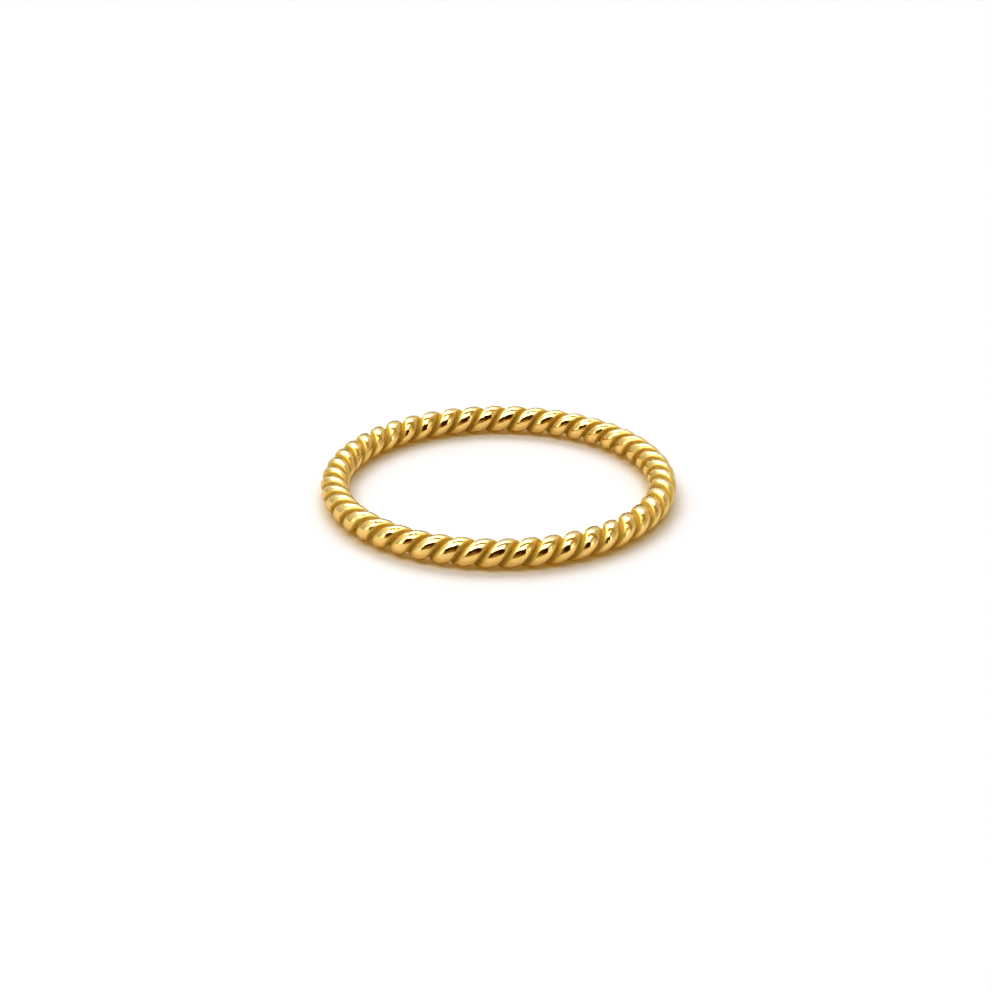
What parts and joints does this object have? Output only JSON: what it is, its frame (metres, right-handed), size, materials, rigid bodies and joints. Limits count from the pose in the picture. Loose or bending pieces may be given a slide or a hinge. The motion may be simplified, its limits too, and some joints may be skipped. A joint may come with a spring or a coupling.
{
  "type": "finger ring",
  "caption": "Slim finger ring formed as a closed rope of tightly twisted gold strands with domed crests, worn alone or beside other rings.",
  "frame": {"origin": "middle of the finger hole, half way up the ring's width", "axes": "+Z along the finger, the ring lies in the XY plane, and the camera of the picture looks from -Y"},
  "size_m": [0.0206, 0.0206, 0.0016],
  "materials": {
    "gold": "polished yellow gold"
  },
  "bodies": {
    "root": {"strand_a": "gold", "strand_b": "gold"}
  },
  "joints": []
}
